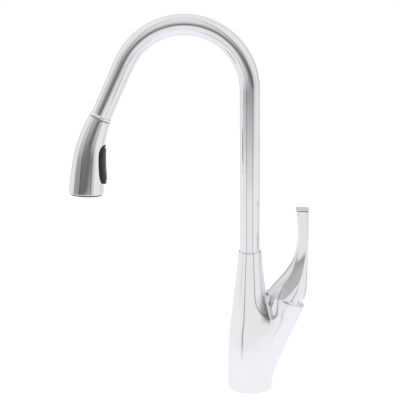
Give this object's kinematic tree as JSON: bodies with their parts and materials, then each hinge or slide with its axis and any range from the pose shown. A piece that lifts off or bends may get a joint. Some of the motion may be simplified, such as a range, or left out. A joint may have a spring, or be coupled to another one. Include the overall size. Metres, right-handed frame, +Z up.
{
  "type": "pull down kitchen faucet",
  "caption": "High-arc single-hole kitchen faucet with a side lever on a flowing Y-shaped body and a pull down two-function spray head.",
  "frame": {"origin": "centre of the base's underside, on the top of the deck", "axes": "+Z up along the column, -X towards the spout's outlet at rest, +X towards the lever"},
  "size_m": [0.284, 0.054, 0.5345],
  "materials": {
    "polished_chrome": "polished chrome plate",
    "brass": "machined brass",
    "black_plastic": "satin black moulded plastic",
    "grey_plastic": "dark grey moulded plastic",
    "white_plastic": "natural white acetal",
    "grey_rubber": "soft grey rubber",
    "black_rubber": "black seal rubber",
    "ceramic": "lapped white ceramic",
    "steel": "stainless steel",
    "hose_braid": "grey nylon braid over a rubber tube",
    "index_colour": "red and blue index plug"
  },
  "bodies": {
    "base": {"body_casting": "polished_chrome", "base_seal": "black_rubber", "mounting_shank": "brass", "rubber_washer": "black_rubber", "steel_washer": "steel", "mounting_nut": "brass", "clamp_screws": "steel", "outlet_tube": "brass", "hose_guide": "white_plastic", "lower_bush": "white_plastic", "upper_bush": "white_plastic", "cartridge_housing": "white_plastic", "fixed_disc": "ceramic", "cartridge_seals": "black_rubber", "cartridge_nut": "brass", "bonnet": "polished_chrome"},
    "spout": {"spout_tube": "polished_chrome", "spout_collar": "polished_chrome", "dock_sleeve": "black_plastic", "lower_o_ring": "black_rubber", "upper_o_ring": "black_rubber", "spout_clip": "steel", "spray_hose": "hose_braid", "hose_tail_fitting": "brass"},
    "spray_head": {"head_shell": "polished_chrome", "dock_cone": "black_plastic", "head_inlet": "white_plastic", "check_valve": "black_plastic", "hose_nut": "brass", "pull_hose": "hose_braid", "diverter_housing": "white_plastic", "spray_face": "grey_plastic", "nozzle_mat": "grey_rubber", "aerator": "grey_plastic", "face_ring": "black_plastic", "button_bezel": "black_plastic", "button_pin": "steel"},
    "button": {"rocker_button": "grey_rubber"},
    "spool": {"diverter_spool": "white_plastic"},
    "rotor": {"cartridge_rotor": "black_plastic", "stem_pin": "steel"},
    "disc": {"moving_disc": "ceramic", "disc_carrier": "black_plastic"},
    "lever": {"lever": "polished_chrome", "cartridge_stem": "brass", "lever_grub_screw": "steel", "index_plug": "index_colour"}
  },
  "joints": [
    {"name": "spout_swivel", "type": "hinge", "parent": "base", "child": "spout", "pos_m": [0, 0, 0.17], "axis": [0, 0, 1], "continuous": true},
    {"name": "spray_pull", "type": "slide", "parent": "spout", "child": "spray_head", "axis": [-0.4258, 0, -0.9048], "range_m": [0, 0.25], "stiffness_N_per_m": 10, "springref_m": -0.6, "deforming": ["pull_hose"]},
    {"name": "button_rock", "type": "hinge", "parent": "spray_head", "child": "button", "pos_m": [-0.17634, 0, 0.27703], "axis": [0, 1, 0], "range_deg": [-3.5, 3.5]},
    {"name": "spool_slide", "type": "slide", "parent": "spray_head", "child": "spool", "axis": [0.9903, 0, -0.1392], "range_m": [-0.000488, 0.000488]},
    {"name": "lever_turn", "type": "hinge", "parent": "base", "child": "rotor", "pos_m": [0.03888, 0, 0.10129], "axis": [0.3584, 0, 0.9336], "range_deg": [-45, 45]},
    {"name": "lever_lift", "type": "hinge", "parent": "rotor", "child": "lever", "pos_m": [0.03888, 0, 0.10129], "axis": [0, 1, 0], "range_deg": [0, 18]},
    {"name": "disc_slide", "type": "slide", "parent": "rotor", "child": "disc", "axis": [0.9336, 0, -0.3584], "range_m": [-0.0038, 0]}
  ],
  "couplings": [
    {"joint": "button_rock", "follows": "spool_slide", "rad_per_m": -125},
    {"joint": "disc_slide", "follows": "lever_lift", "m_per_rad": -0.012}
  ]
}
